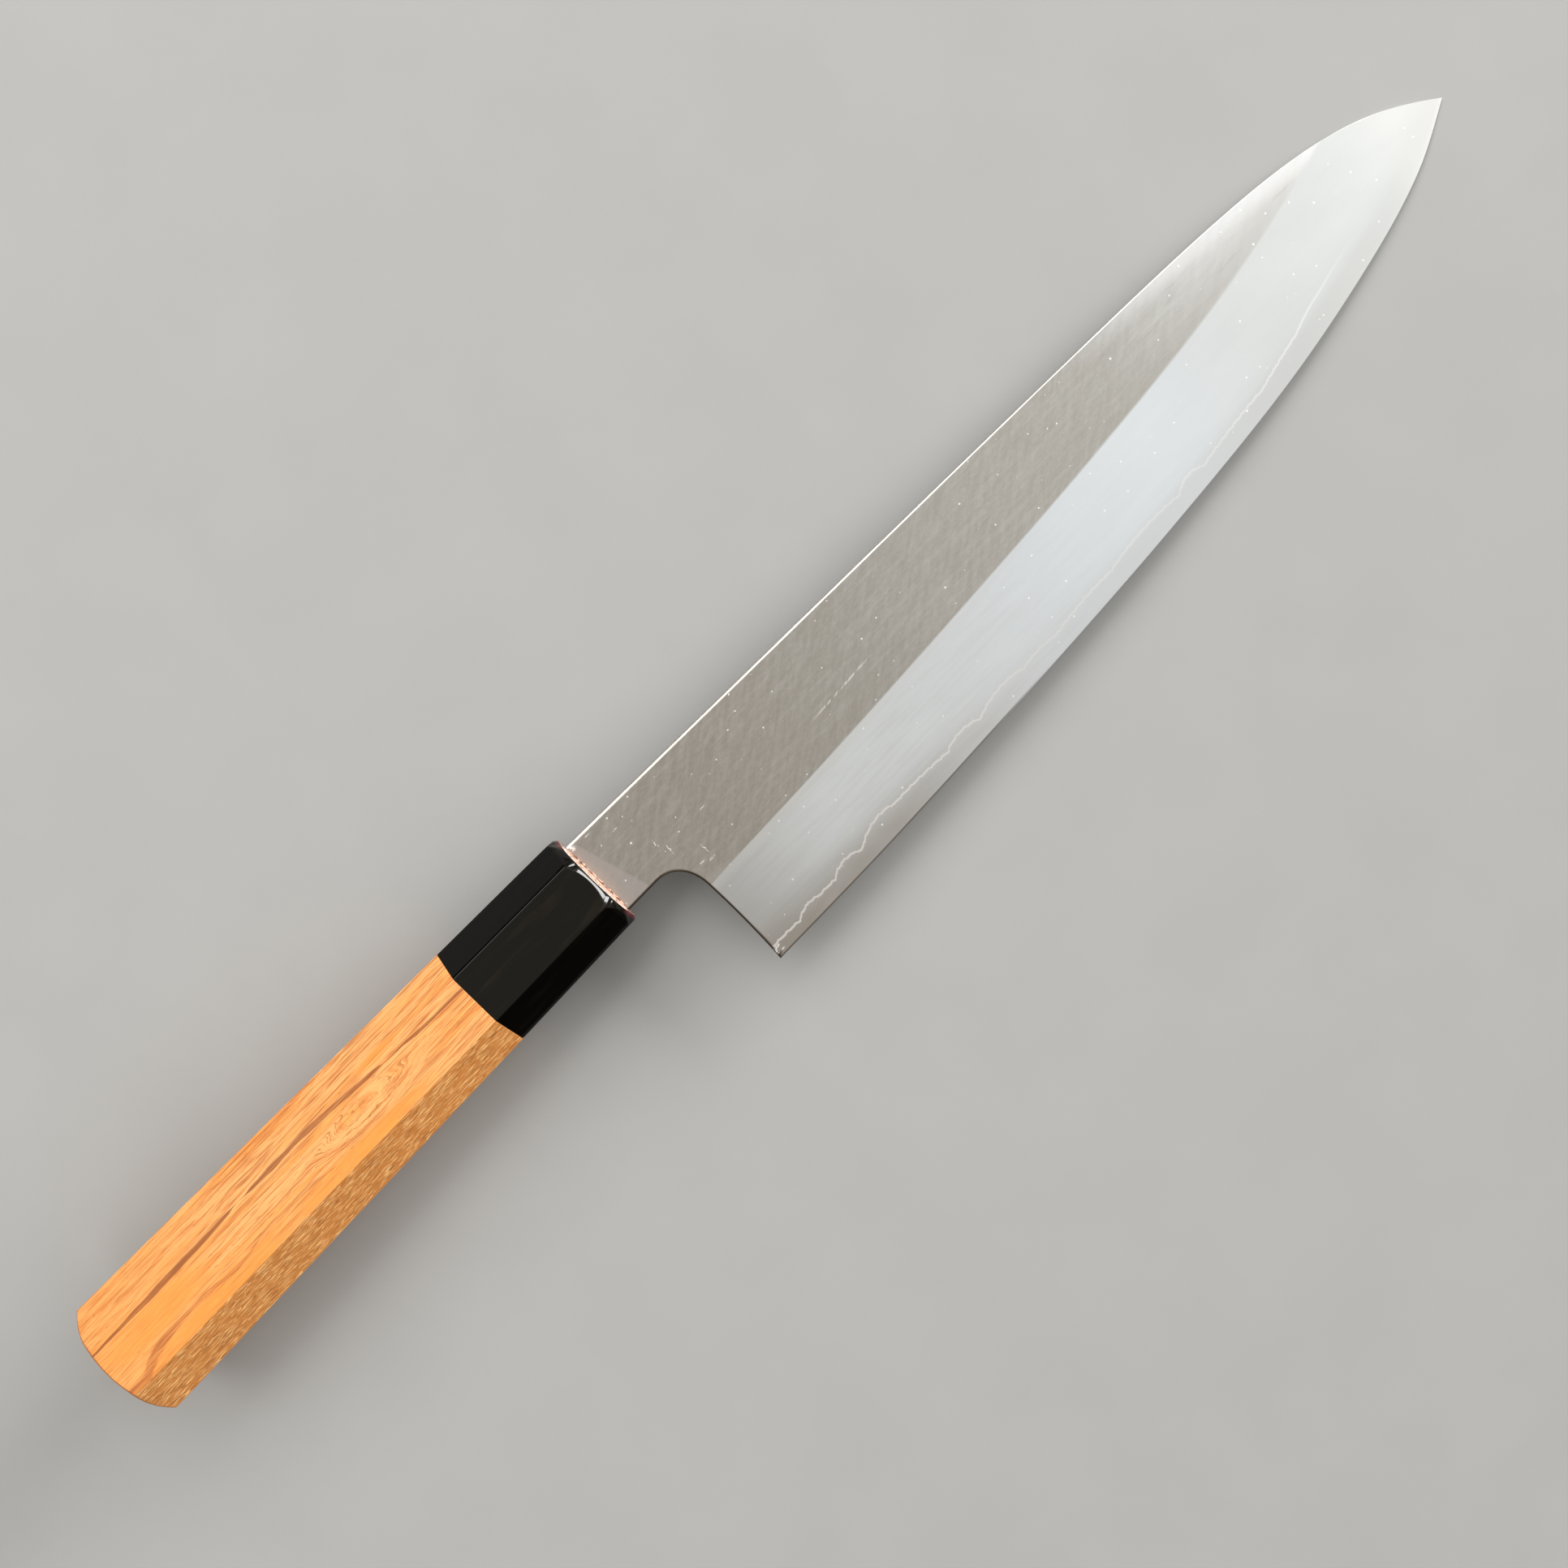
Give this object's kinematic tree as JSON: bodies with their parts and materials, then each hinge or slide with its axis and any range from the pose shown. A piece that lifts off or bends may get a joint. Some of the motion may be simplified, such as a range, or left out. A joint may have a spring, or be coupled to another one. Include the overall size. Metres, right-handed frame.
{
  "type": "chef knife",
  "caption": "Chef knife for slicing and chopping: wide-bevel laminated steel blade on a hidden tang, black horn ferrule and octagonal light wood handle, lying on its side.",
  "frame": {"origin": "middle of the bounding box in X and Y, on the lowest point of the handle, the knife lying flat on its left side", "axes": "+X along the handle axis towards the tip, +Y towards the spine, +Z across the blade, out of its right face"},
  "size_m": [0.3514, 0.049, 0.02],
  "materials": {
    "core_steel": "fine satin, slightly warm grey",
    "cladding_steel": "near-mirror flats, satin stoned bevel",
    "ferrule_horn": "polished black horn",
    "handle_oak": "oiled oak, straight grain with a dark streak",
    "dowel_wood": "plain",
    "bedding_adhesive": "dull brown"
  },
  "bodies": {
    "root": {"core_steel": "core_steel", "cladding_right": "cladding_steel", "cladding_left": "cladding_steel", "ferrule": "ferrule_horn", "handle_body": "handle_oak", "dowel": "dowel_wood", "tang_bedding": "bedding_adhesive"}
  },
  "joints": []
}
